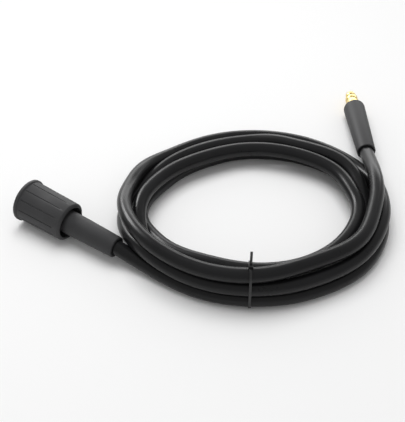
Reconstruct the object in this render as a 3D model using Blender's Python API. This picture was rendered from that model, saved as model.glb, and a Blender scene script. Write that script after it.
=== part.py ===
"""Extension hose: a rubber pressure hose in a tied coil, a quick coupling on one end
and a brass plug-in nipple on the other.

Metres, +Z up. The hose lies on the floor, z = 0. The coupling's axis runs along +X,
seen from above, and the origin is under the middle of the whole part.
"""
import math

import bmesh
import bpy
from mathutils import Matrix, Vector

for old in list(bpy.data.objects):
    bpy.data.objects.remove(old, do_unlink=True)

MM = 0.001
GAP = 0.3 * MM
SIDES = 40

# Hose
HOSE_R = 6.0 * MM
COIL_AT = Vector((23.8 * MM, -42.3 * MM, 0.0))
STATION_STEP = 30.0
FIRST_STATION = 243.3

# Lay of the coiled hose: its distance from the coil's middle and its height over the floor,
# in mm, once every 30 degrees from where it joins the coil. Each pair of rows is a turn.
LAY = (
    (103.0, 9.6), (90.8, 6.5), (89.3, 7.5), (92.8, 6.2), (103.6, 6.0), (109.2, 6.0),
    (98.5, 6.0), (87.3, 6.0), (80.5, 6.0), (77.5, 6.0), (83.6, 6.0), (89.0, 6.0),
    (77.0, 10.4), (68.3, 15.5), (70.3, 18.7), (74.6, 18.0), (82.0, 17.6), (89.3, 17.3),
    (86.7, 17.5), (76.0, 18.5), (72.6, 16.7), (71.3, 17.0), (79.3, 17.2), (89.3, 18.0),
    (88.8, 8.5), (78.7, 7.0), (76.3, 7.5), (80.5, 6.2), (90.3, 6.2), (96.8, 7.5),
    (98.7, 18.0), (88.0, 17.6), (91.3, 9.5), (87.0, 11.5), (93.0, 9.5), (102.0, 9.0),
    (98.2, 20.8), (91.2, 19.0), (89.3, 19.5), (91.3, 18.2), (101.5, 18.0), (109.3, 18.0),
    (112.0, 9.0), (107.3, 6.5), (102.5, 6.0), (100.5, 6.0), (99.5, 13.0), (101.3, 25.0),
    (96.6, 32.2), (90.1, 31.2), (86.9, 31.5), (84.6, 30.0), (96.2, 29.5), (102.6, 28.0),
)

# Route of the hose from the mouth of the coupling's sleeve to the coil, and from the coil
# to the mouth of the nipple's sleeve, in mm from the coil's middle
LEAD = ((-64.5, -93.3, 13.9), (-57.5, -93.4, 13.2))
TAIL = ((77.3, 73.5, 27.5), (66.3, 91.6, 23.6), (55.5, 107.4, 18.0), (49.5, 116.3, 15.9))

# Quick coupling
COLLAR_LENGTH = 45.5 * MM
COLLAR_RADIUS = 16.8 * MM
RIM_RADIUS = 16.0 * MM
LIP_RADIUS = 18.0 * MM
LIP_WIDTH = 3.4 * MM
COLLAR_BORE = 13.0 * MM
GUIDE_WALL = 0.8 * MM
FLUTES = 12
FLUTE_WIDTH = 1.1 * MM
FLUTE_DEPTH = 0.6 * MM
FLUTE_START = 4.6 * MM
FLUTE_END_MARGIN = 5.0 * MM
EDGE = 0.8 * MM
COLLAR_TRAVEL = 5.0 * MM

MOUTH_INSET = 1.5 * MM
FLANGE_WIDTH = 4.6 * MM
SOCKET_LENGTH = 32.5 * MM
SOCKET_BORE = 6.3 * MM
SOCKET_BORE_DEPTH = 25.0 * MM
MOUTH_BEVEL = 1.6 * MM

SLEEVE_LENGTH = 57.5 * MM
SLEEVE_RADIUS = 9.8 * MM
SLEEVE_END_RADIUS = 8.7 * MM
SHOULDER_WIDTH = 2.6 * MM
HOSE_GRIP = 6.0 * MM
HOSE_FIT = 0.5 * MM

# Nipple end
NIPPLE_SLEEVE_LENGTH = 72.5 * MM
NIPPLE_SLEEVE_RADIUS = 8.05 * MM
NIPPLE_SLEEVE_END_RADIUS = 9.8 * MM
NIPPLE_SLEEVE_ROUND = 4.2 * MM
NIPPLE_FLANGE_RADIUS = 5.8 * MM
NIPPLE_FLANGE_WIDTH = 14.2 * MM
NIPPLE_NECK_RADIUS = 4.0 * MM
NIPPLE_NECK_WIDTH = 1.6 * MM
NIPPLE_RING_RADIUS = 4.7 * MM
NIPPLE_RING_WIDTH = 3.4 * MM
NIPPLE_TIP_RADIUS = 4.3 * MM
NIPPLE_TIP_WIDTH = 2.5 * MM
NIPPLE_BEVEL = 0.8 * MM
NIPPLE_BORE = 2.2 * MM
NIPPLE_BORE_DEPTH = 14.0 * MM
NIPPLE_AZIMUTH = 124.5
NIPPLE_STEM_RADIUS = 4.6 * MM
NIPPLE_SEAT_DEPTH = 6.0 * MM

# Cable tie
TIE_STATION = 1.94
TIE_THICK = 1.0 * MM
TIE_WIDTH = 1.9 * MM
TIE_HEAD = 3.6 * MM
TIE_HEAD_HEIGHT = 3.2 * MM
TIE_HEAD_INWARDS = 2.7 * MM
TIE_HEAD_LIFT = 0.6 * MM
TIE_TAIL = 13.0 * MM

# Coil's solid: stations round it, points on each section, depth of the grooves between turns
COIL_STATIONS = 48
SECTION_POINTS = 36
TURN_GROOVE = 3.0 * MM
SECTION_R = HOSE_R - GAP
END_STEP = 0.004
END_STUB = 2.5 * MM


def material(name, rgb, roughness, metallic=0.0):
    mat = bpy.data.materials.new(name)
    mat.use_nodes = True
    shader = mat.node_tree.nodes["Principled BSDF"]
    shader.inputs["Base Color"].default_value = (*rgb, 1.0)
    shader.inputs["Roughness"].default_value = roughness
    shader.inputs["Metallic"].default_value = metallic
    mat.diffuse_color = (*rgb, 1.0)
    return mat


HOSE_RUBBER = material("hose_rubber", (0.022, 0.022, 0.024), 0.42)
COLLAR_PLASTIC = material("collar_plastic", (0.028, 0.028, 0.030), 0.55)
SOCKET_PLASTIC = material("socket_plastic", (0.018, 0.018, 0.019), 0.5)
SLEEVE_RUBBER = material("sleeve_rubber", (0.024, 0.024, 0.026), 0.6)
BRASS = material("brass", (0.62, 0.45, 0.20), 0.28, 1.0)
TIE_NYLON = material("tie_nylon", (0.012, 0.012, 0.012), 0.45)


def new_object(name, mesh, mat, smooth=True):
    obj = bpy.data.objects.new(name, mesh)
    bpy.context.collection.objects.link(obj)
    mesh.materials.append(mat)
    if smooth:
        mesh.shade_smooth()
        mesh.set_sharp_from_angle(angle=math.radians(35))
    return obj


def turned(name, profile, mat, closed, sides=SIDES):
    """A piece turned about the X axis from (x, radius) points; a closed profile leaves a bore."""
    bm = bmesh.new()
    points = [bm.verts.new((x, 0.0, -radius)) for x, radius in profile]
    edges = [bm.edges.new((points[i], points[i + 1])) for i in range(len(points) - 1)]
    if closed:
        edges.append(bm.edges.new((points[-1], points[0])))
    bmesh.ops.spin(
        bm, geom=points + edges, cent=(0, 0, 0), axis=(1, 0, 0), angle=math.tau, steps=sides,
        use_merge=True, use_duplicate=False,
    )
    bmesh.ops.remove_doubles(bm, verts=bm.verts, dist=1e-6)
    bmesh.ops.recalc_face_normals(bm, faces=bm.faces)
    mesh = bpy.data.meshes.new(name)
    bm.to_mesh(mesh)
    bm.free()
    return new_object(name, mesh, mat)


def cut_with(obj, cutter):
    """The cutter stays in the file as a hidden wire guide."""
    cutter.hide_render = True
    cutter.display_type = "WIRE"
    cut = obj.modifiers.new("cut", "BOOLEAN")
    cut.operation = "DIFFERENCE"
    cut.object = cutter
    return cut


def add_box(bm, low, high):
    corners = [(x, y, z) for x in (low[0], high[0]) for y in (low[1], high[1]) for z in (low[2], high[2])]
    verts = [bm.verts.new(c) for c in corners]
    for a, b, c, d in ((0, 1, 3, 2), (4, 6, 7, 5), (0, 4, 5, 1), (2, 3, 7, 6), (0, 2, 6, 4), (1, 5, 7, 3)):
        bm.faces.new((verts[a], verts[b], verts[c], verts[d]))


# The coil's own curve

def eased(a, b, c, d, t):
    """Smooth curve through b and c, with a and d beyond them."""
    bend = 2 * a - 5 * b + 4 * c - d
    twist = 3 * b - a - 3 * c + d
    return 0.5 * (2 * b + (c - a) * t + bend * t ** 2 + twist * t ** 3)


def lay_at(place):
    """The hose's distance from the middle and its height, in metres, at a place counted in stations."""
    last = len(LAY) - 1
    i = min(int(place), last - 1)
    before = LAY[i - 1] if i else [2 * p - q for p, q in zip(LAY[0], LAY[1])]
    after = LAY[i + 2] if i + 2 <= last else [2 * p - q for p, q in zip(LAY[last], LAY[last - 1])]
    return [eased(*values, place - i) * MM for values in zip(before, LAY[i], LAY[i + 1], after)]


def coil_point(place):
    radius, height = lay_at(place)
    angle = math.radians(FIRST_STATION + STATION_STEP * place)
    return Vector((radius * math.cos(angle), radius * math.sin(angle), height)) + COIL_AT


def round_coil(place):
    """Direction square to the coil's section at a place."""
    angle = math.radians(FIRST_STATION + STATION_STEP * place)
    return Vector((-math.sin(angle), math.cos(angle), 0.0))


def turns_at(place):
    """Centres (distance, height) of all the turns that cross the radial plane at a place of turn one."""
    per_turn = int(360 / STATION_STEP)
    found = []
    while place <= len(LAY) - 1:
        if place >= 0:
            found.append(lay_at(place))
        place += per_turn
    return found


def hull(points):
    """Convex outline of (u, v) points, anticlockwise."""
    points = sorted(set(points))
    lines = []
    for run in (points, points[::-1]):
        line = []
        for p in run:
            while len(line) > 1 and (
                (line[-1][0] - line[-2][0]) * (p[1] - line[-2][1])
                - (line[-1][1] - line[-2][1]) * (p[0] - line[-2][0]) <= 0
            ):
                line.pop()
            line.append(p)
        lines += line[:-1]
    return lines


def circle(centre, radius, count=24):
    return [
        (round(centre[0] + radius * math.cos(math.tau * k / count), 7),
         round(centre[1] + radius * math.sin(math.tau * k / count), 7))
        for k in range(count)
    ]


def outline_reach(outline, centre, angle):
    """How far a convex outline reaches from a point inside it, at an angle."""
    du, dv = math.cos(angle), math.sin(angle)
    for k, p in enumerate(outline):
        q = outline[(k + 1) % len(outline)]
        eu, ev = q[0] - p[0], q[1] - p[1]
        across = du * ev - dv * eu
        if abs(across) < 1e-12:
            continue
        pu, pv = p[0] - centre[0], p[1] - centre[1]
        far = (pu * ev - pv * eu) / across
        along = (pu * dv - pv * du) / across
        if far > 0 and -1e-9 <= along <= 1 + 1e-9:
            return far
    return 0.0


def circle_reach(turn, centre, angle, radius):
    """How far a ray from a point leaves a turn's circle, or 0 if it misses."""
    du, dv = math.cos(angle), math.sin(angle)
    cu, cv = turn[0] - centre[0], turn[1] - centre[1]
    along = cu * du + cv * dv
    off = cu * dv - cv * du
    if abs(off) >= radius or along <= 0:
        return 0.0
    return along + math.sqrt(radius ** 2 - off ** 2)


def coil_section(turns):
    """Outline of the bundle: round each turn, with shallow grooves between the turns."""
    centre = (sum(t[0] for t in turns) / len(turns), sum(t[1] for t in turns) / len(turns))
    outline = hull([p for t in turns for p in circle(t, SECTION_R)])
    section = []
    for k in range(SECTION_POINTS):
        angle = math.tau * k / SECTION_POINTS
        reach = outline_reach(outline, centre, angle) - TURN_GROOVE
        reach = max([reach] + [circle_reach(t, centre, angle, SECTION_R) for t in turns])
        height = max(centre[1] + reach * math.sin(angle), 0.0)
        section.append((centre[0] + reach * math.cos(angle), height))
    return section


def coil_mesh():
    """The tied turns as one turned ring, whose section follows the turns round the coil."""
    per_turn = 360 / STATION_STEP
    places = [per_turn * k / COIL_STATIONS for k in range(COIL_STATIONS)]
    last = (len(LAY) - 1) % per_turn
    places = sorted(set(places + [last, last + END_STEP, per_turn - END_STEP]))
    bm = bmesh.new()
    rings = []
    for place in places:
        angle = math.radians(FIRST_STATION + STATION_STEP * place)
        ring = [
            bm.verts.new(Vector((u * math.cos(angle), u * math.sin(angle), v)) + COIL_AT)
            for u, v in coil_section(turns_at(place if place < per_turn - END_STEP else place - per_turn))
        ]
        rings.append(ring)
    for ring, following in zip(rings, rings[1:] + rings[:1]):
        for k in range(SECTION_POINTS):
            n = (k + 1) % SECTION_POINTS
            bm.faces.new((ring[k], ring[n], following[n], following[k]))
    bmesh.ops.recalc_face_normals(bm, faces=bm.faces)
    mesh = bpy.data.meshes.new("hose_coil")
    bm.to_mesh(mesh)
    bm.free()
    return mesh


def hose_tube(name, points, before=(), after=()):
    """A free stretch of the hose: a tube along a smooth curve through the route's own points."""
    route = list(before)
    ends = [2 * points[0] - points[1]] + points + [2 * points[-1] - points[-2]]
    for i in range(1, len(ends) - 2):
        route += [eased(*ends[i - 1:i + 3], t) for t in (0.0, 0.5)]
    route += [points[-1], *after]
    curve = bpy.data.curves.new(name, "CURVE")
    curve.dimensions = "3D"
    curve.bevel_depth = HOSE_R - GAP / 2
    curve.bevel_resolution = 3
    curve.use_fill_caps = True
    curve.materials.append(HOSE_RUBBER)
    spline = curve.splines.new("POLY")
    spline.points.add(len(route) - 1)
    for target, p in zip(spline.points, route):
        target.co = (*p, 1.0)
    obj = bpy.data.objects.new(name, curve)
    bpy.context.collection.objects.link(obj)
    return obj


def route_points(rows):
    return [Vector(row) * MM + COIL_AT for row in rows]


# The tied coil

coil = new_object("hose_coil", coil_mesh(), HOSE_RUBBER)

# Quick coupling, turned about X and then laid down with its lip and its rim on the floor

COUPLING_DIP = math.atan((LIP_RADIUS - RIM_RADIUS) / COLLAR_LENGTH)
coupling_length = MOUTH_INSET + SOCKET_LENGTH + GAP + SLEEVE_LENGTH
lead_points = route_points(LEAD)
coupling = bpy.data.objects.new("coupling_axis", None)
bpy.context.collection.objects.link(coupling)
coupling.rotation_euler = (0.0, COUPLING_DIP, 0.0)
coupling.location = (
    lead_points[0].x - coupling_length * math.cos(COUPLING_DIP),
    lead_points[0].y,
    LIP_RADIUS * math.cos(COUPLING_DIP) + (LIP_WIDTH - EDGE) * math.sin(COUPLING_DIP),
)

guide_radius = COLLAR_BORE - GUIDE_WALL
guide_start = MOUTH_INSET + FLANGE_WIDTH + GAP
shoulder_start = MOUTH_INSET + SOCKET_LENGTH + GAP
guide_end = shoulder_start - COLLAR_TRAVEL - GAP
collar_taper = (COLLAR_RADIUS - RIM_RADIUS) / (COLLAR_LENGTH - LIP_WIDTH)
collar = turned("coupling_collar", (
    (0.0, COLLAR_BORE + EDGE),
    (0.0, LIP_RADIUS - EDGE),
    (EDGE, LIP_RADIUS),
    (LIP_WIDTH - EDGE, LIP_RADIUS),
    (LIP_WIDTH, COLLAR_RADIUS),
    (COLLAR_LENGTH - EDGE, RIM_RADIUS + EDGE * collar_taper),
    (COLLAR_LENGTH, RIM_RADIUS - EDGE),
    (COLLAR_LENGTH, COLLAR_BORE + EDGE),
    (COLLAR_LENGTH - EDGE, COLLAR_BORE),
    (guide_end, COLLAR_BORE),
    (guide_end, guide_radius),
    (guide_start, guide_radius),
    (guide_start, COLLAR_BORE),
    (EDGE, COLLAR_BORE),
), COLLAR_PLASTIC, closed=True, sides=48)

flute_mesh = bpy.data.meshes.new("flute_cutters")
bm = bmesh.new()
for k in range(FLUTES):
    slot = bmesh.new()
    add_box(
        slot,
        (FLUTE_START, -FLUTE_WIDTH / 2, RIM_RADIUS - FLUTE_DEPTH),
        (COLLAR_LENGTH - FLUTE_END_MARGIN, FLUTE_WIDTH / 2, LIP_RADIUS + LIP_WIDTH),
    )
    slot.transform(Matrix.Rotation(math.tau * (k + 0.5) / FLUTES, 4, "X"))
    one = bpy.data.meshes.new("slot")
    slot.to_mesh(one)
    slot.free()
    bm.from_mesh(one)
    bpy.data.meshes.remove(one)
bmesh.ops.recalc_face_normals(bm, faces=bm.faces)
bm.to_mesh(flute_mesh)
bm.free()
flutes = bpy.data.objects.new("flute_cutters", flute_mesh)
bpy.context.collection.objects.link(flutes)
cut_with(collar, flutes)

flange_radius = COLLAR_BORE - GAP
body_radius = guide_radius - GAP
socket = turned("coupling_socket", (
    (MOUTH_INSET + SOCKET_LENGTH, 0.0),
    (MOUTH_INSET + SOCKET_LENGTH, body_radius),
    (MOUTH_INSET + FLANGE_WIDTH, body_radius),
    (MOUTH_INSET + FLANGE_WIDTH, flange_radius),
    (MOUTH_INSET, flange_radius),
    (MOUTH_INSET, SOCKET_BORE + MOUTH_BEVEL),
    (MOUTH_INSET + MOUTH_BEVEL, SOCKET_BORE),
    (MOUTH_INSET + SOCKET_BORE_DEPTH, SOCKET_BORE),
    (MOUTH_INSET + SOCKET_BORE_DEPTH, 0.0),
), SOCKET_PLASTIC, closed=False, sides=32)

sleeve_end = shoulder_start + SLEEVE_LENGTH
grip_radius = HOSE_R + HOSE_FIT
sleeve = turned("coupling_sleeve", (
    (shoulder_start, 0.0),
    (shoulder_start, flange_radius),
    (shoulder_start + SHOULDER_WIDTH, flange_radius),
    (shoulder_start + SHOULDER_WIDTH, SLEEVE_RADIUS),
    (sleeve_end - EDGE, SLEEVE_END_RADIUS),
    (sleeve_end, SLEEVE_END_RADIUS - EDGE),
    (sleeve_end, grip_radius),
    (sleeve_end - HOSE_GRIP - GAP, grip_radius),
    (sleeve_end - HOSE_GRIP - GAP, 0.0),
), SLEEVE_RUBBER, closed=False)
for piece in (collar, flutes, socket, sleeve):
    piece.parent = coupling

# Free stretches of hose

coupling_way = Vector((math.cos(COUPLING_DIP), 0.0, -math.sin(COUPLING_DIP)))
lead_points.insert(0, lead_points[0] - HOSE_GRIP * coupling_way)
lead_end = coil_point(-2 * END_STEP)
lead_points.append(lead_end - END_STUB * round_coil(0))
hose_tube("hose_lead", lead_points, after=[lead_end])

tail_points = route_points(TAIL)
nipple_reach = NIPPLE_SLEEVE_LENGTH - NIPPLE_SLEEVE_ROUND
nipple_dip = math.asin((tail_points[-1].z - NIPPLE_SLEEVE_END_RADIUS) / nipple_reach)
nipple_swing = math.radians(NIPPLE_AZIMUTH)
nipple_way = Vector((
    math.cos(nipple_dip) * math.cos(nipple_swing),
    math.cos(nipple_dip) * math.sin(nipple_swing),
    -math.sin(nipple_dip),
))
tail_points.append(tail_points[-1] + HOSE_GRIP * nipple_way)
last_place = len(LAY) - 1
tail_start = coil_point(last_place + 2 * END_STEP)
tail_points.insert(0, tail_start + END_STUB * round_coil(last_place))
hose_tube("hose_tail", tail_points, before=[tail_start])

# Nipple end, turned about X, then swung round and lowered until its sleeve lies on the floor

nipple_axis = bpy.data.objects.new("nipple_axis", None)
bpy.context.collection.objects.link(nipple_axis)
nipple_axis.rotation_euler = (0.0, nipple_dip, nipple_swing)
nipple_axis.location = tail_points[-2]

far = NIPPLE_SLEEVE_LENGTH
turn_in = NIPPLE_SLEEVE_ROUND
dome = [
    (far - turn_in + turn_in * math.sin(a), NIPPLE_SLEEVE_END_RADIUS - turn_in + turn_in * math.cos(a))
    for a in (math.radians(18 * k) for k in range(6))
]
nipple_sleeve = turned("nipple_sleeve", [
    (HOSE_GRIP + GAP, 0.0),
    (HOSE_GRIP + GAP, grip_radius),
    (0.0, grip_radius),
    (0.0, NIPPLE_SLEEVE_RADIUS - EDGE),
    (EDGE, NIPPLE_SLEEVE_RADIUS),
] + dome + [
    (far, NIPPLE_STEM_RADIUS + GAP),
    (far - NIPPLE_SEAT_DEPTH - GAP, NIPPLE_STEM_RADIUS + GAP),
    (far - NIPPLE_SEAT_DEPTH - GAP, 0.0),
], SLEEVE_RUBBER, closed=False)

flange_x = far + GAP
neck_x = flange_x + NIPPLE_FLANGE_WIDTH
ring_x = neck_x + NIPPLE_NECK_WIDTH
tip_x = ring_x + NIPPLE_RING_WIDTH
tip_end = tip_x + NIPPLE_TIP_WIDTH
brass = turned("brass_nipple", (
    (far - NIPPLE_SEAT_DEPTH, 0.0),
    (far - NIPPLE_SEAT_DEPTH, NIPPLE_STEM_RADIUS),
    (flange_x, NIPPLE_STEM_RADIUS),
    (flange_x, NIPPLE_FLANGE_RADIUS),
    (neck_x - NIPPLE_BEVEL / 2, NIPPLE_FLANGE_RADIUS),
    (neck_x, NIPPLE_FLANGE_RADIUS - NIPPLE_BEVEL / 2),
    (neck_x, NIPPLE_NECK_RADIUS),
    (ring_x, NIPPLE_NECK_RADIUS),
    (ring_x + NIPPLE_BEVEL, NIPPLE_RING_RADIUS),
    (tip_x - NIPPLE_BEVEL, NIPPLE_RING_RADIUS),
    (tip_x, NIPPLE_TIP_RADIUS),
    (tip_end - NIPPLE_BEVEL, NIPPLE_TIP_RADIUS),
    (tip_end, NIPPLE_TIP_RADIUS - NIPPLE_BEVEL),
    (tip_end, NIPPLE_BORE),
    (tip_end - NIPPLE_BORE_DEPTH, NIPPLE_BORE),
    (tip_end - NIPPLE_BORE_DEPTH, 0.0),
), BRASS, closed=False, sides=32)
for piece in (nipple_sleeve, brass):
    piece.parent = nipple_axis

# Cable tie: a strap round the bundle, its head on top of the bundle and its cut tail standing up

tie_turns = turns_at(TIE_STATION)
inner = hull([p for t in tie_turns for p in circle(t, HOSE_R + GAP, 32)])
outer = hull([p for t in tie_turns for p in circle(t, HOSE_R + GAP + TIE_THICK, 32)])
top_turn = max(tie_turns, key=lambda t: t[1])
bm = bmesh.new()
strap_faces = []
tie_centre = (sum(t[0] for t in tie_turns) / len(tie_turns), sum(t[1] for t in tie_turns) / len(tie_turns))
strap_points = 56
rims = []
for side in (-TIE_WIDTH / 2, TIE_WIDTH / 2):
    for outline in (inner, outer):
        rims.append([])
        for k in range(strap_points):
            angle = math.tau * k / strap_points
            reach = outline_reach(outline, tie_centre, angle)
            u = tie_centre[0] + reach * math.cos(angle)
            v = tie_centre[1] + reach * math.sin(angle)
            rims[-1].append(bm.verts.new((u, side, v)))
for first, second in ((0, 1), (1, 3), (3, 2), (2, 0)):
    for k in range(strap_points):
        n = (k + 1) % strap_points
        bm.faces.new((rims[first][k], rims[first][n], rims[second][n], rims[second][k]))
bmesh.ops.recalc_face_normals(bm, faces=bm.faces)
strap_mesh = bpy.data.meshes.new("cable_tie")
bm.to_mesh(strap_mesh)
bm.free()
tie = new_object("cable_tie", strap_mesh, TIE_NYLON, smooth=False)

head_u = top_turn[0] - TIE_HEAD_INWARDS
head_v = top_turn[1] + math.sqrt(HOSE_R ** 2 - TIE_HEAD_INWARDS ** 2) + GAP
bm = bmesh.new()
add_box(
    bm,
    (head_u - TIE_HEAD / 2, -TIE_HEAD / 2, head_v + TIE_HEAD_LIFT),
    (head_u + TIE_HEAD / 2, TIE_HEAD / 2, head_v + TIE_HEAD_LIFT + TIE_HEAD_HEIGHT),
)
bmesh.ops.recalc_face_normals(bm, faces=bm.faces)
head_mesh = bpy.data.meshes.new("tie_head")
bm.to_mesh(head_mesh)
bm.free()
head = new_object("tie_head", head_mesh, TIE_NYLON, smooth=False)
bm = bmesh.new()
add_box(
    bm,
    (head_u - TIE_THICK / 2, -TIE_WIDTH / 2, head_v + TIE_THICK + GAP),
    (head_u + TIE_THICK / 2, TIE_WIDTH / 2, head_v + TIE_THICK + TIE_HEAD_HEIGHT + TIE_TAIL),
)
bmesh.ops.recalc_face_normals(bm, faces=bm.faces)
tail_mesh = bpy.data.meshes.new("tie_tail")
bm.to_mesh(tail_mesh)
bm.free()
tie_tail = new_object("tie_tail", tail_mesh, TIE_NYLON, smooth=False)
for extra in (head, tie_tail):
    extra.hide_render = True
    extra.display_type = "WIRE"
    join = tie.modifiers.new("join", "BOOLEAN")
    join.operation = "UNION"
    join.object = extra
tie_angle = math.radians(FIRST_STATION + STATION_STEP * TIE_STATION)
for piece in (tie, head, tie_tail):
    piece.rotation_euler = (0.0, 0.0, tie_angle)
    piece.location = COIL_AT
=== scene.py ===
"""Looks of the extension hose: a black rubber hose in a tied coil, a pull-collar quick coupling
on one end and a sleeved brass nipple on the other.

Metres, +Z up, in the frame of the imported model. The coupling's axis runs along +X seen from above.
"""
import math

import bpy
import numpy as np
from mathutils import Matrix, Vector


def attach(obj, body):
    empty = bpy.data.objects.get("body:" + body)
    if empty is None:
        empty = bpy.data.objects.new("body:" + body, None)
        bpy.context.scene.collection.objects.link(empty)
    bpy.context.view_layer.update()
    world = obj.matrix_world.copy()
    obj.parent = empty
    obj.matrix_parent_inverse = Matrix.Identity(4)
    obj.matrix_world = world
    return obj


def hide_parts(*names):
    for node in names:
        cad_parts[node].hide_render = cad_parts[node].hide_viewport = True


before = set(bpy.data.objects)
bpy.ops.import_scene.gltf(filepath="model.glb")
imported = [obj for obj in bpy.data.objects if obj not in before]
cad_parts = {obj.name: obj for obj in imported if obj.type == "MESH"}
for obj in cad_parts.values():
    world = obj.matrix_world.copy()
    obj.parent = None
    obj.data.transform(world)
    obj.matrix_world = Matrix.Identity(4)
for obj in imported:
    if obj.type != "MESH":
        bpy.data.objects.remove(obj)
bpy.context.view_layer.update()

MM = 0.001

# Camera: it stands in front of the coil and looks down at it at 44.5 degrees through a long lens,
# swung round by 33.3 degrees from a view square to the coupling's axis.

coil_middle = Vector((23.8, -42.3, 0.0)) * MM
photo_width_px = 405
focal_length_px = 880
camera_from_coil = Vector((250.8, -451.0, 518.0)) * MM
camera_pitch = math.radians(44.5)
camera_swing = math.radians(33.3)
camera_data = bpy.data.cameras.new("camera")
camera_data.sensor_fit = "HORIZONTAL"
camera_data.sensor_width = 36.0
camera_data.lens = camera_data.sensor_width * focal_length_px / photo_width_px
camera = bpy.data.objects.new("camera", camera_data)
bpy.context.scene.collection.objects.link(camera)
camera.location = coil_middle + camera_from_coil
camera.rotation_euler = (math.pi / 2 - camera_pitch, 0.0, camera_swing)
bpy.context.scene.camera = camera

# Hose: 12 mm rubber pressure hose, extruded over braid, cut to 2.6 m and wound into four and a
# half loose turns. The turns lie on the floor and on each other, and a cable tie holds them.

hose_radius = 6.0 * MM
first_bearing = 243.3
bearing_step = 30.0
# Distance from the coil's middle and height over the floor, in mm, once every 30 degrees
turn_lay = (
    (103.0, 9.6), (90.8, 6.5), (89.3, 7.5), (92.8, 6.2), (103.6, 6.0), (109.2, 6.0),
    (98.5, 6.0), (87.3, 6.0), (80.5, 6.0), (77.5, 6.0), (83.6, 6.0), (89.0, 6.0),
    (77.0, 10.4), (68.3, 15.5), (70.3, 18.7), (74.6, 18.0), (82.0, 17.6), (89.3, 17.3),
    (86.7, 17.5), (76.0, 18.5), (72.6, 16.7), (71.3, 17.0), (79.3, 17.2), (89.3, 18.0),
    (88.8, 8.5), (78.7, 7.0), (76.3, 7.5), (80.5, 6.2), (90.3, 6.2), (96.8, 7.5),
    (98.7, 18.0), (88.0, 17.6), (91.3, 9.5), (87.0, 11.5), (93.0, 9.5), (102.0, 9.0),
    (98.2, 20.8), (91.2, 19.0), (89.3, 19.5), (91.3, 18.2), (101.5, 18.0), (109.3, 18.0),
    (112.0, 9.0), (107.3, 6.5), (102.5, 6.0), (100.5, 6.0), (99.5, 13.0), (101.3, 25.0),
    (96.6, 32.2), (90.1, 31.2), (86.9, 31.5), (84.6, 30.0), (96.2, 29.5), (102.6, 28.0),
)
# Mouth of the coupling's sleeve, and the hose's way to the mouth of the nipple's sleeve, in mm
# from the coil's middle. The coupling lies on its lip and its rim, and the nipple's sleeve on its
# thick end, so both dip a little.
coupling_mouth = coil_middle + Vector((-64.5, -93.3, 13.93)) * MM
tail_route = ((77.3, 73.5, 27.5), (66.3, 91.6, 23.6), (55.5, 107.4, 18.0), (49.5, 116.3, 15.9))
nipple_mouth = coil_middle + Vector(tail_route[-1]) * MM
collar_length = 45.5
lip_over_rim = 2.0
coupling_dip = math.atan(lip_over_rim / collar_length)
coupling_way = Vector((math.cos(coupling_dip), 0.0, -math.sin(coupling_dip)))
nipple_sleeve_length = 72.5 * MM
nipple_sleeve_end_radius = 9.8 * MM
nipple_sleeve_round = 4.2 * MM
nipple_reach = nipple_sleeve_length - nipple_sleeve_round
nipple_dip = math.asin((nipple_mouth.z - nipple_sleeve_end_radius) / nipple_reach)
nipple_bearing = math.radians(124.5)
nipple_way = Vector((
    math.cos(nipple_dip) * math.cos(nipple_bearing),
    math.cos(nipple_dip) * math.sin(nipple_bearing),
    -math.sin(nipple_dip),
))
grip = 6.0 * MM


def through(points, parts):
    """Smooth line through points, with parts steps between each two."""
    points = np.array(points)
    ends = np.vstack([2 * points[0] - points[1], points, 2 * points[-1] - points[-2]])
    line = []
    for a, b, c, d in zip(ends, ends[1:], ends[2:], ends[3:]):
        for t in np.arange(parts) / parts:
            line.append(0.5 * (2 * b + (c - a) * t + (2 * a - 5 * b + 4 * c - d) * t ** 2
                               + (3 * b - a - 3 * c + d) * t ** 3))
    return np.array(line + [points[-1]])


def evenly(line, step):
    """The same line with its points a step apart."""
    run = np.concatenate([[0.0], np.cumsum(np.linalg.norm(np.diff(line, axis=0), axis=1))])
    marks = np.linspace(0.0, run[-1], round(run[-1] / step) + 1)
    return np.stack([np.interp(marks, run, line[:, k]) for k in range(3)], axis=1)


def eased(line, passes, fixed):
    """Evens out the bends without shortening the line. The fixed points at each end stay.

    Each pass draws the points together by one share and swells the line again by the other.
    """
    inwards, outwards = 0.5, -0.505
    for _ in range(passes):
        for share in (inwards, outwards):
            moved = line.copy()
            moved[1:-1] += share * (0.5 * (line[:-2] + line[2:]) - line[1:-1])
            moved[:fixed] = line[:fixed]
            moved[-fixed:] = line[-fixed:]
            line = moved
    return line


def settled(line, apart, rounds, hold, fixed):
    """Lets the turns push each other apart until they barely press, on and over the floor.

    Points less than own_stretch from each other along the hose leave each other alone, and hold
    is the share by which each point is drawn back to its chosen place in a round.
    """
    own_stretch = 40 * MM
    reach = apart + 4 * MM
    rounds_per_search = 10
    line = eased(line, passes=60, fixed=fixed)
    line[:, 2] = np.maximum(line[:, 2], hose_radius)
    wanted = line.copy()
    order = np.arange(len(line))
    step = np.linalg.norm(line[1] - line[0])
    same_stretch = int(own_stretch / step)
    for count in range(rounds):
        if count % rounds_per_search == 0:
            near = np.linalg.norm(line[:, None] - line[None], axis=2) < reach
            one, other = np.where(near & (order[:, None] - order[None] > same_stretch))
        between = line[one] - line[other]
        distance = np.linalg.norm(between, axis=1)
        short = np.maximum(apart - distance, 0.0)
        push = (0.5 * short / distance)[:, None] * between
        move = np.zeros_like(line)
        touches = np.zeros(len(line))
        np.add.at(move, one, push)
        np.add.at(move, other, -push)
        np.add.at(touches, one, short > 0)
        np.add.at(touches, other, short > 0)
        move /= np.maximum(touches, 1)[:, None]
        line[fixed:-fixed] += (move + hold * (wanted - line))[fixed:-fixed]
        line = eased(line, passes=8, fixed=fixed)
        line[:, 2] = np.maximum(line[:, 2], hose_radius)
    return line


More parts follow.
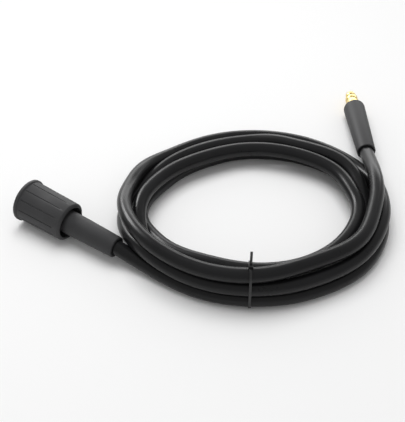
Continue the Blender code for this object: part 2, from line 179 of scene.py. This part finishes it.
bearings = np.radians(first_bearing + bearing_step * np.arange(len(turn_lay)))
coiled = [
    coil_middle + Vector((radius * math.cos(bearing), radius * math.sin(bearing), height)) * MM
    for (radius, height), bearing in zip(turn_lay, bearings)
]
route = [coupling_mouth - grip * coupling_way, coupling_mouth] + coiled
route += [coil_middle + Vector(row) * MM for row in tail_route]
route.append(nipple_mouth + grip * nipple_way)
hose_line = settled(
    evenly(through(route, parts=8), step=4.0 * MM), apart=11.2 * MM, rounds=400, hold=0.03, fixed=3
)


def hose_mesh(name, line, radius, sides):
    """Tube along a line, with u round it and v along it, both counted in times round."""
    ways = np.gradient(line, axis=0)
    ways /= np.linalg.norm(ways, axis=1)[:, None]
    up = np.array((0.0, 0.0, 1.0))
    around = np.linspace(0.0, math.tau, sides, endpoint=False)
    verts = []
    for point, way in zip(line, ways):
        up = up - way * up.dot(way)
        up /= np.linalg.norm(up)
        side = np.cross(way, up)
        ring = np.cos(around)[:, None] * up + np.sin(around)[:, None] * side
        verts.append(point + radius * ring)
    run = np.concatenate([[0.0], np.cumsum(np.linalg.norm(np.diff(line, axis=0), axis=1))])
    faces = []
    corners = []
    for i in range(len(line) - 1):
        for k in range(sides):
            n = (k + 1) % sides
            faces.append((i * sides + k, i * sides + n, (i + 1) * sides + n, (i + 1) * sides + k))
            low, high = run[i] / (math.tau * radius), run[i + 1] / (math.tau * radius)
            left, right = k / sides, (k + 1) / sides
            corners += [(left, low), (right, low), (right, high), (left, high)]
    last = (len(line) - 1) * sides
    faces += [tuple(range(sides))[::-1], tuple(last + k for k in range(sides))]
    corners += [(0.5, 0.0)] * (2 * sides)
    mesh = bpy.data.meshes.new(name)
    mesh.from_pydata(np.vstack(verts).tolist(), [], faces)
    mesh.uv_layers.new(name="round_and_along").uv.foreach_set("vector", np.array(corners).ravel())
    mesh.shade_smooth()
    hose_object = bpy.data.objects.new(name, mesh)
    bpy.context.scene.collection.objects.link(hose_object)
    return hose_object


hose = hose_mesh("hose", hose_line, hose_radius, sides=28)
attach(hose, "hose")
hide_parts("hose_coil", "hose_lead", "hose_tail")


def linear(hex_colour):
    """sRGB hex to linear RGBA."""
    parts = [int(hex_colour[k:k + 2], 16) / 255 for k in (1, 3, 5)]
    return (*[c / 12.92 if c <= 0.04045 else ((c + 0.055) / 1.055) ** 2.4 for c in parts], 1.0)


def new_material(name):
    """A material with its shader, and the tree that add_node builds in."""
    mat = bpy.data.materials.new(name)
    mat.use_nodes = True
    return mat, mat.node_tree, mat.node_tree.nodes["Principled BSDF"]


def add_node(tree, kind, links=(), sockets=(), **settings):
    """One node with its settings, its socket values and the links that come into it."""
    node = tree.nodes.new(kind)
    for key, value in settings.items():
        setattr(node, key, value)
    for key, value in dict(sockets).items():
        node.inputs[key].default_value = value
    for key, source in dict(links).items():
        tree.links.new(source, node.inputs[key])
    return node


# Extruded synthetic rubber: nearly black, half glossy, with faint drag lines along it from the
# die and a thin, patchy bloom that dulls it. One unit of its map is one time round, 37.7 mm.
hose_rubber, tree, shader = new_material("extruded black rubber")
round_mm = math.tau * hose_radius / MM
die_lines_mm = 0.7
drag_length_mm = 60.0
bloom_width_mm = 22.0
bloom_length_mm = 45.0
place = add_node(tree, "ShaderNodeUVMap", uv_map="round_and_along")
drag = add_node(
    tree, "ShaderNodeMapping", links={"Vector": place.outputs["UV"]},
    sockets={"Scale": (round_mm / die_lines_mm, round_mm / drag_length_mm, 1.0)},
)
drag_noise = add_node(
    tree, "ShaderNodeTexNoise", links={"Vector": drag.outputs["Vector"]},
    sockets={"Scale": 1.0, "Detail": 2.0},
)
bloom_at = add_node(
    tree, "ShaderNodeMapping", links={"Vector": place.outputs["UV"]},
    sockets={"Scale": (round_mm / bloom_width_mm, round_mm / bloom_length_mm, 1.0)},
)
bloom = add_node(
    tree, "ShaderNodeTexNoise", links={"Vector": bloom_at.outputs["Vector"]},
    sockets={"Scale": 1.0, "Detail": 4.0, "Roughness": 0.6},
)
tone = add_node(tree, "ShaderNodeValToRGB", links={"Fac": bloom.outputs["Fac"]})
tone.color_ramp.elements[0].position = 0.3
tone.color_ramp.elements[0].color = linear("#151516")
tone.color_ramp.elements[1].position = 0.75
tone.color_ramp.elements[1].color = linear("#1a1a1b")
tree.links.new(tone.outputs["Color"], shader.inputs["Base Color"])
gloss = add_node(
    tree, "ShaderNodeMapRange", links={"Value": bloom.outputs["Fac"]},
    sockets={"From Min": 0.3, "From Max": 0.7, "To Min": 0.26, "To Max": 0.34},
)
tree.links.new(gloss.outputs["Result"], shader.inputs["Roughness"])
drag_bump = add_node(
    tree, "ShaderNodeBump", links={"Height": drag_noise.outputs["Fac"]},
    sockets={"Strength": 0.08, "Distance": 0.05 * MM},
)
tree.links.new(drag_bump.outputs["Normal"], shader.inputs["Normal"])
shader.inputs["IOR"].default_value = 1.52
shader.inputs["Specular IOR Level"].default_value = 0.2
hose.data.materials.append(hose_rubber)

# Coupling: a moulded plastic pull collar slides on a socket body, and a long bend-relief sleeve
# is moulded behind it onto the hose. Pulled back against its spring, the collar frees the joint.

mouth_inset = 1.5
socket_length = 32.5
socket_to_sleeve = 0.3
coupling_sleeve_length = 57.5
coupling_length = (mouth_inset + socket_length + socket_to_sleeve + coupling_sleeve_length) * MM
coupling_at = coupling_mouth - coupling_length * coupling_way


def turned(name, stations, sides=96, closed=False):
    """Lathe work along X: a circle is drawn out and widened or narrowed, station by station.

    Stations are (distance along the axis, radius) in mm. A closed one returns to its start, and
    one that ends on the axis ends in a pole too small to see.
    """
    pole_radius = 0.01
    bpy.ops.object.select_all(action="DESELECT")
    x, radius = stations[0][0] * MM, max(stations[0][1], pole_radius) * MM
    bpy.ops.mesh.primitive_circle_add(
        vertices=sides, radius=radius, fill_type="NOTHING", location=(0, 0, 0), rotation=(0, 0, 0)
    )
    piece = bpy.context.object
    piece.name = piece.data.name = name
    piece.data.transform(Matrix.Translation((x, 0, 0)) @ Matrix.Rotation(math.pi / 2, 4, "Y"))
    bpy.ops.object.mode_set(mode="EDIT")
    bpy.ops.mesh.select_all(action="SELECT")
    for next_x, next_radius in stations[1:]:
        wanted = max(next_radius, pole_radius) * MM
        bpy.ops.mesh.extrude_edges_move(TRANSFORM_OT_translate={"value": (next_x * MM - x, 0, 0)})
        share = wanted / radius
        bpy.ops.transform.resize(value=(1, share, share), center_override=(next_x * MM, 0, 0))
        x, radius = next_x * MM, wanted
    bpy.ops.mesh.select_all(action="SELECT")
    bpy.ops.mesh.remove_doubles(threshold=1e-6)
    if not closed:
        bpy.ops.mesh.select_all(action="DESELECT")
        bpy.ops.mesh.select_mode(type="EDGE")
        bpy.ops.mesh.select_non_manifold(extend=False)
        bpy.ops.mesh.edge_face_add()
        bpy.ops.mesh.select_mode(type="VERT")
    bpy.ops.mesh.select_all(action="SELECT")
    bpy.ops.mesh.normals_make_consistent(inside=False)
    bpy.ops.object.mode_set(mode="OBJECT")
    return piece


def finished(piece, place, bevel_mm, segments=3):
    """Rounds the sharp edges, lays the piece in its place and applies everything."""
    sharp_edge = math.radians(38)
    smooth_edge = math.radians(32)
    bpy.ops.object.select_all(action="DESELECT")
    piece.select_set(True)
    bpy.context.view_layer.objects.active = piece
    edge = piece.modifiers.new("rounded edges", "BEVEL")
    edge.width = bevel_mm * MM
    edge.segments = segments
    edge.limit_method = "ANGLE"
    edge.angle_limit = sharp_edge
    edge.use_clamp_overlap = True
    for modifier in list(piece.modifiers):
        bpy.ops.object.modifier_apply(modifier=modifier.name)
    piece.matrix_world = place
    bpy.ops.object.transform_apply(location=True, rotation=True, scale=True)
    bpy.ops.object.shade_smooth_by_angle(angle=smooth_edge)


coupling_place = Matrix.Translation(coupling_at) @ Matrix.Rotation(coupling_dip, 4, "Y")

collar = turned("pull_collar", (
    (0.0, 13.8), (0.0, 17.4), (0.6, 18.0), (2.6, 18.0), (3.2, 17.5), (3.5, 16.9), (24.0, 16.5),
    (43.9, 16.1), (45.3, 14.6), (45.5, 13.8), (45.5, 13.4), (45.2, 13.0), (28.7, 13.0),
    (28.7, 12.2), (6.4, 12.2), (6.4, 13.0), (0.8, 13.0), (0.0, 13.8),
), closed=True)
grooves = 12
groove_size = Vector((34.6, 0.75, 1.1)) * MM
groove_middle = Vector((22.0, 0, 16.62)) * MM
collar_slope = math.radians(1.1)
groove_cutters = []
for k in range(grooves):
    bpy.ops.object.select_all(action="DESELECT")
    bpy.ops.mesh.primitive_cube_add(size=1, location=(0, 0, 0))
    cutter = bpy.context.object
    cutter.data.transform(Matrix.Diagonal((*groove_size, 1.0)))
    cutter.data.transform(
        Matrix.Rotation(math.tau * (k + 0.5) / grooves, 4, "X")
        @ Matrix.Translation(groove_middle) @ Matrix.Rotation(collar_slope, 4, "Y")
    )
    groove_cutters.append(cutter)
bpy.ops.object.select_all(action="DESELECT")
for cutter in groove_cutters:
    cutter.select_set(True)
bpy.context.view_layer.objects.active = groove_cutters[0]
bpy.ops.object.join()
groove_cutter = bpy.context.object
grooving = collar.modifiers.new("grooves", "BOOLEAN")
grooving.object = groove_cutter
finished(collar, coupling_place, 0.25, segments=2)
bpy.data.objects.remove(groove_cutter)
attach(collar, "collar")
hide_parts("coupling_collar")

socket = turned("socket_body", (
    (34.0, 0.0), (34.0, 11.9), (6.1, 11.9), (6.1, 12.7), (1.5, 12.7), (1.5, 8.1), (2.9, 6.7),
    (2.9, 6.3), (9.0, 6.3), (9.0, 6.9), (12.0, 6.9), (12.0, 6.3), (26.5, 6.3), (26.5, 2.2),
    (30.0, 2.2), (30.0, 0.0),
))
finished(socket, coupling_place, 0.25)
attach(socket, "hose")
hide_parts("coupling_socket")

coupling_sleeve = turned("moulded_coupling_sleeve", (
    (34.3, 0.0), (34.3, 12.7), (36.9, 12.7), (36.9, 9.9), (37.9, 9.8), (60.0, 9.45), (91.2, 8.7),
    (91.8, 8.2), (91.8, 6.5), (85.5, 6.5), (85.5, 0.0),
))
finished(coupling_sleeve, coupling_place, 0.35)
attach(coupling_sleeve, "hose")
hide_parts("coupling_sleeve")

# Glass-filled nylon, moulded in an eroded tool: dark grey, dull, with a fine even grain of about
# 0.4 mm that spreads the light into a broad soft band
grain_size = 0.4 * MM
cloud_size = 14 * MM
collar_plastic, tree, shader = new_material("moulded glass-filled nylon")
where = add_node(tree, "ShaderNodeTexCoord")
grain = add_node(
    tree, "ShaderNodeTexNoise", links={"Vector": where.outputs["Object"]},
    sockets={"Scale": 1 / grain_size, "Detail": 3.0, "Roughness": 0.6},
)
cloud = add_node(
    tree, "ShaderNodeTexNoise", links={"Vector": where.outputs["Object"]},
    sockets={"Scale": 1 / cloud_size, "Detail": 3.0},
)
tone = add_node(tree, "ShaderNodeValToRGB", links={"Fac": cloud.outputs["Fac"]})
tone.color_ramp.elements[0].color = linear("#303031")
tone.color_ramp.elements[1].color = linear("#39393a")
tree.links.new(tone.outputs["Color"], shader.inputs["Base Color"])
dull = add_node(
    tree, "ShaderNodeMapRange", links={"Value": grain.outputs["Fac"]},
    sockets={"From Min": 0.3, "From Max": 0.7, "To Min": 0.48, "To Max": 0.62},
)
tree.links.new(dull.outputs["Result"], shader.inputs["Roughness"])
grain_bump = add_node(
    tree, "ShaderNodeBump", links={"Height": grain.outputs["Fac"]},
    sockets={"Strength": 0.25, "Distance": 0.05 * MM},
)
tree.links.new(grain_bump.outputs["Normal"], shader.inputs["Normal"])
shader.inputs["IOR"].default_value = 1.53
shader.inputs["Specular IOR Level"].default_value = 0.3
collar.data.materials.append(collar_plastic)

# Acetal, moulded and polished: nearly black and a little glossier than the collar, with a faint
# mottle of about 3 mm from the flow of the melt
mottle_size = 3 * MM
socket_plastic, tree, shader = new_material("moulded black acetal")
where = add_node(tree, "ShaderNodeTexCoord")
mottle = add_node(
    tree, "ShaderNodeTexNoise", links={"Vector": where.outputs["Object"]},
    sockets={"Scale": 1 / mottle_size, "Detail": 4.0},
)
tone = add_node(tree, "ShaderNodeValToRGB", links={"Fac": mottle.outputs["Fac"]})
tone.color_ramp.elements[0].color = linear("#161617")
tone.color_ramp.elements[1].color = linear("#1e1e20")
tree.links.new(tone.outputs["Color"], shader.inputs["Base Color"])
sheen = add_node(
    tree, "ShaderNodeMapRange", links={"Value": mottle.outputs["Fac"]},
    sockets={"To Min": 0.3, "To Max": 0.46},
)
tree.links.new(sheen.outputs["Result"], shader.inputs["Roughness"])
shader.inputs["IOR"].default_value = 1.48
socket.data.materials.append(socket_plastic)

# Thermoplastic rubber, moulded matte: dark grey, soft to the eye, with a fine blasted grain of
# about 0.5 mm
skin_size = 0.5 * MM
shade_size = 18 * MM
sleeve_rubber, tree, shader = new_material("moulded soft rubber")
where = add_node(tree, "ShaderNodeTexCoord")
skin = add_node(
    tree, "ShaderNodeTexNoise", links={"Vector": where.outputs["Object"]},
    sockets={"Scale": 1 / skin_size, "Detail": 2.0, "Roughness": 0.5},
)
shade = add_node(
    tree, "ShaderNodeTexNoise", links={"Vector": where.outputs["Object"]},
    sockets={"Scale": 1 / shade_size, "Detail": 3.0},
)
tone = add_node(tree, "ShaderNodeValToRGB", links={"Fac": shade.outputs["Fac"]})
tone.color_ramp.elements[0].color = linear("#2e2e2f")
tone.color_ramp.elements[1].color = linear("#363637")
tree.links.new(tone.outputs["Color"], shader.inputs["Base Color"])
skin_bump = add_node(
    tree, "ShaderNodeBump", links={"Height": skin.outputs["Fac"]},
    sockets={"Strength": 0.15, "Distance": 0.05 * MM},
)
tree.links.new(skin_bump.outputs["Normal"], shader.inputs["Normal"])
shader.inputs["Roughness"].default_value = 0.56
shader.inputs["IOR"].default_value = 1.5
shader.inputs["Specular IOR Level"].default_value = 0.3
coupling_sleeve.data.materials.append(sleeve_rubber)

# Nipple end: the same soft rubber is moulded over the brass nipple's stem and the hose, rounded
# where the nipple comes out. The nipple is turned from bar, with a seal groove and a drilled bore.

nipple_place = (
    Matrix.Translation(nipple_mouth) @ Matrix.Rotation(nipple_bearing, 4, "Z")
    @ Matrix.Rotation(nipple_dip, 4, "Y")
)
sleeve_end = nipple_sleeve_length / MM
end_round = nipple_sleeve_round / MM
round_middle = (sleeve_end - end_round, nipple_sleeve_end_radius / MM - end_round)
dome = [
    (round_middle[0] + end_round * math.sin(turn), round_middle[1] + end_round * math.cos(turn))
    for turn in np.radians(np.arange(0, 91, 10))
]
nipple_sleeve = turned("moulded_nipple_sleeve", [
    (6.3, 0.0), (6.3, 6.5), (0.0, 6.5), (0.0, 7.6), (0.5, 8.05), (30.0, 8.8)
] + dome + [(sleeve_end, 4.9), (66.2, 4.9), (66.2, 0.0)])
finished(nipple_sleeve, nipple_place, 0.25)
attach(nipple_sleeve, "hose")
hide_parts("nipple_sleeve")
nipple_sleeve.data.materials.append(sleeve_rubber)

brass_nipple = turned("turned_nipple", (
    (66.5, 0.0), (66.5, 4.6), (72.8, 4.6), (72.8, 5.3), (73.2, 5.7), (80.8, 5.7), (81.0, 5.3),
    (81.8, 5.3), (82.0, 5.8), (86.0, 5.8), (87.0, 4.9), (87.0, 4.0), (88.6, 4.0), (89.0, 4.7),
    (91.6, 4.7), (92.0, 4.4), (93.3, 4.3), (94.2, 3.8), (94.5, 3.1), (94.5, 2.4), (94.3, 2.2),
    (80.5, 2.2), (80.5, 0.0),
))
finished(brass_nipple, nipple_place, 0.15, segments=2)
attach(brass_nipple, "hose")
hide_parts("brass_nipple")

# Free-cutting brass, turned and left bright: pale gold, with fine rings from the lathe tool.
# The rings are drawn 0.5 mm apart, coarser than real, so that they show.
ring_spacing = 0.5 * MM
tarnish_size = 3 * MM
brass, tree, shader = new_material("turned bright brass")
where = add_node(tree, "ShaderNodeTexCoord")
along = add_node(
    tree, "ShaderNodeVectorMath", links={0: where.outputs["Object"]},
    sockets={1: tuple(nipple_way)}, operation="DOT_PRODUCT",
)
ring_phase = add_node(
    tree, "ShaderNodeMath", links={0: along.outputs["Value"]}, sockets={1: math.tau / ring_spacing},
    operation="MULTIPLY",
)
rings = add_node(tree, "ShaderNodeMath", links={0: ring_phase.outputs["Value"]}, operation="SINE")
tarnish = add_node(
    tree, "ShaderNodeTexNoise", links={"Vector": where.outputs["Object"]},
    sockets={"Scale": 1 / tarnish_size, "Detail": 4.0},
)
tone = add_node(tree, "ShaderNodeValToRGB", links={"Fac": tarnish.outputs["Fac"]})
tone.color_ramp.elements[0].position = 0.3
tone.color_ramp.elements[0].color = linear("#dcc27c")
tone.color_ramp.elements[1].position = 0.7
tone.color_ramp.elements[1].color = linear("#e8d296")
tree.links.new(tone.outputs["Color"], shader.inputs["Base Color"])
polish = add_node(
    tree, "ShaderNodeMapRange", links={"Value": tarnish.outputs["Fac"]},
    sockets={"To Min": 0.3, "To Max": 0.4},
)
tree.links.new(polish.outputs["Result"], shader.inputs["Roughness"])
ring_bump = add_node(
    tree, "ShaderNodeBump", links={"Height": rings.outputs["Value"]},
    sockets={"Strength": 0.1, "Distance": 0.02 * MM},
)
tree.links.new(ring_bump.outputs["Normal"], shader.inputs["Normal"])
shader.inputs["Metallic"].default_value = 1.0
brass_nipple.data.materials.append(brass)

# Cable tie: black nylon, moulded in one, closed by hand round the bundle at the front of the
# coil. The strap runs under the turns, and the tail stands up from the head, cut short.

tie_station = 1.94
tie_bearing = math.radians(first_bearing + tie_station * bearing_step)
tie_width = 1.9 * MM
tie_thickness = 1.0 * MM
tie_slack = 0.05 * MM
floor_clearance = 0.1 * MM


def crossings(line, bearing):
    """Where the hose crosses the upright plane through the coil's middle, as (outwards, up)."""
    flat = line - np.array(coil_middle)
    out = np.array((math.cos(bearing), math.sin(bearing), 0.0))
    side = np.array((-math.sin(bearing), math.cos(bearing), 0.0))
    off = flat @ side
    found = []
    for i in np.where((off[:-1] < 0) & (off[1:] >= 0) & (flat[:-1] @ out > 0))[0]:
        share = -off[i] / (off[i + 1] - off[i])
        point = flat[i] + share * (flat[i + 1] - flat[i])
        found.append((point @ out, point[2]))
    return found


def wrapped(centres, radius, count=60):
    """Outline of a band pulled tight round circles, as (outwards, up) points at even bearings."""
    nearly_sideways = 0.05
    middle = np.mean(centres, axis=0)
    outline = []
    for turn in np.linspace(0.0, math.tau, 720, endpoint=False):
        way = np.array((math.cos(turn), math.sin(turn)))
        reach = max((np.array(c) - middle) @ way for c in centres) + radius
        outline.append((way, reach))
    points = []
    for turn in np.linspace(0.0, math.tau, count, endpoint=False):
        ray = np.array((math.cos(turn), math.sin(turn)))
        far = min(reach / (way @ ray) for way, reach in outline if way @ ray > nearly_sideways)
        points.append(middle + far * ray)
    return points


bundle = crossings(hose_line, tie_bearing)
strap_in = wrapped(bundle, hose_radius + tie_slack)
strap_out = wrapped(bundle, hose_radius + tie_slack + tie_thickness)
strap_verts = []
for side in (-0.5, 0.5):
    for outline in (strap_in, strap_out):
        strap_verts += [(p[0], side * tie_width, max(p[1], floor_clearance)) for p in outline]
count = len(strap_in)
strap_faces = []
for first, second in ((0, 1), (1, 3), (3, 2), (2, 0)):
    for k in range(count):
        n = (k + 1) % count
        near, far = first * count, second * count
        strap_faces.append((near + k, near + n, far + n, far + k))
strap_mesh = bpy.data.meshes.new("nylon_tie")
strap_mesh.from_pydata(strap_verts, [], strap_faces)
tie = bpy.data.objects.new("nylon_tie", strap_mesh)
bpy.context.scene.collection.objects.link(tie)

top_turn = max(bundle, key=lambda centre: centre[1])
head_inwards = 2.7 * MM
head_out = top_turn[0] - head_inwards
head_up = top_turn[1] + math.sqrt(hose_radius ** 2 - head_inwards ** 2)
head_size = Vector((3.9, 3.5, 3.3)) * MM
head_lift = 2.3 * MM
tail_start = 3.9 * MM
tail_height = 13.0 * MM
bpy.ops.object.select_all(action="DESELECT")
bpy.ops.mesh.primitive_cube_add(size=1, location=(0, 0, 0))
tie_head = bpy.context.object
tie_head.data.transform(
    Matrix.Translation((head_out, 0, head_up + head_lift)) @ Matrix.Diagonal((*head_size, 1.0))
)
bpy.ops.object.select_all(action="DESELECT")
bpy.ops.mesh.primitive_cube_add(size=1, location=(0, 0, 0))
tie_tail = bpy.context.object
tie_tail.data.transform(
    Matrix.Translation((head_out, 0, head_up + tail_start + tail_height / 2))
    @ Matrix.Diagonal((tie_thickness, tie_width, tail_height, 1.0))
)
bpy.ops.object.mode_set(mode="EDIT")
# Fine divisions keep the rounding of its edges narrow
bpy.ops.mesh.subdivide(number_cuts=12)
bpy.ops.object.mode_set(mode="OBJECT")
bpy.ops.object.select_all(action="DESELECT")
for part in (tie_head, tie_tail, tie):
    part.select_set(True)
bpy.context.view_layer.objects.active = tie
bpy.ops.object.join()
bpy.ops.object.mode_set(mode="EDIT")
bpy.ops.mesh.select_all(action="SELECT")
bpy.ops.mesh.normals_make_consistent(inside=False)
bpy.ops.object.mode_set(mode="OBJECT")
tie_place = Matrix.Translation(coil_middle) @ Matrix.Rotation(tie_bearing, 4, "Z")
finished(tie, tie_place, 0.25, segments=2)
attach(tie, "hose")
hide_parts("cable_tie")

# Nylon, moulded smooth and coloured through: black, with a soft sheen that drifts every 2 mm
flow_size = 2 * MM
tie_nylon, tree, shader = new_material("moulded black nylon")
where = add_node(tree, "ShaderNodeTexCoord")
flow = add_node(
    tree, "ShaderNodeTexNoise", links={"Vector": where.outputs["Object"]},
    sockets={"Scale": 1 / flow_size, "Detail": 3.0},
)
tone = add_node(tree, "ShaderNodeValToRGB", links={"Fac": flow.outputs["Fac"]})
tone.color_ramp.elements[0].color = linear("#0c0c0d")
tone.color_ramp.elements[1].color = linear("#151516")
tree.links.new(tone.outputs["Color"], shader.inputs["Base Color"])
shine = add_node(
    tree, "ShaderNodeMapRange", links={"Value": flow.outputs["Fac"]},
    sockets={"To Min": 0.32, "To Max": 0.5},
)
tree.links.new(shine.outputs["Result"], shader.inputs["Roughness"])
shader.inputs["IOR"].default_value = 1.53
tie.data.materials.append(tie_nylon)

# The hose is one cord from the mouth of the coupling's sleeve to the nipple that it carries.

# Studio: a white matte sheet on the floor, a wide soft light above and a little behind the coil,
# and two soft boxes low behind it that only draw the shine along the hose.

bpy.ops.object.select_all(action="DESELECT")
bpy.ops.mesh.primitive_plane_add(size=8.0, location=(0, 0, 0))
floor = bpy.context.object
floor.name = "floor"
white_sheet, tree, shader = new_material("matte white sheet")
shader.inputs["Base Color"].default_value = linear("#f4f4f4")
shader.inputs["Roughness"].default_value = 0.9
shader.inputs["Specular IOR Level"].default_value = 0.1
floor.data.materials.append(white_sheet)

view_back = Vector((-math.sin(camera_swing), math.cos(camera_swing), 0.0))
view_right = Vector((math.cos(camera_swing), math.sin(camera_swing), 0.0))


def soft_light(name, back, right, up, width, height, power, mirrored):
    """A soft box that faces the coil, placed in metres as the camera sees it from the front.

    A mirrored one shows in the gloss of the surfaces only, and any other lights them without it.
    """
    data = bpy.data.lights.new(name, "AREA")
    data.shape = "RECTANGLE"
    data.size = width
    data.size_y = height
    data.energy = power
    light = bpy.data.objects.new(name, data)
    bpy.context.scene.collection.objects.link(light)
    light.location = coil_middle + back * view_back + right * view_right + Vector((0, 0, up))
    light.rotation_euler = (coil_middle - light.location).to_track_quat("-Z", "Y").to_euler()
    light.visible_glossy = mirrored
    light.visible_diffuse = not mirrored


soft_light(
    "top_cloth", back=0.3, right=-0.2, up=1.35, width=1.1, height=0.9, power=13.5, mirrored=False
)
soft_light(
    "back_strip", back=1.5, right=0.0, up=0.45, width=2.6, height=0.4, power=16, mirrored=True
)
soft_light(
    "left_box", back=0.9, right=-0.85, up=0.75, width=0.6, height=0.45, power=14, mirrored=True
)
world = bpy.data.worlds.new("studio")
bpy.context.scene.world = world
world.use_nodes = True
world.node_tree.nodes["Background"].inputs["Color"].default_value = (1.0, 1.0, 1.0, 1.0)
world.node_tree.nodes["Background"].inputs["Strength"].default_value = 0.5
bpy.context.scene.view_settings.view_transform = "Standard"
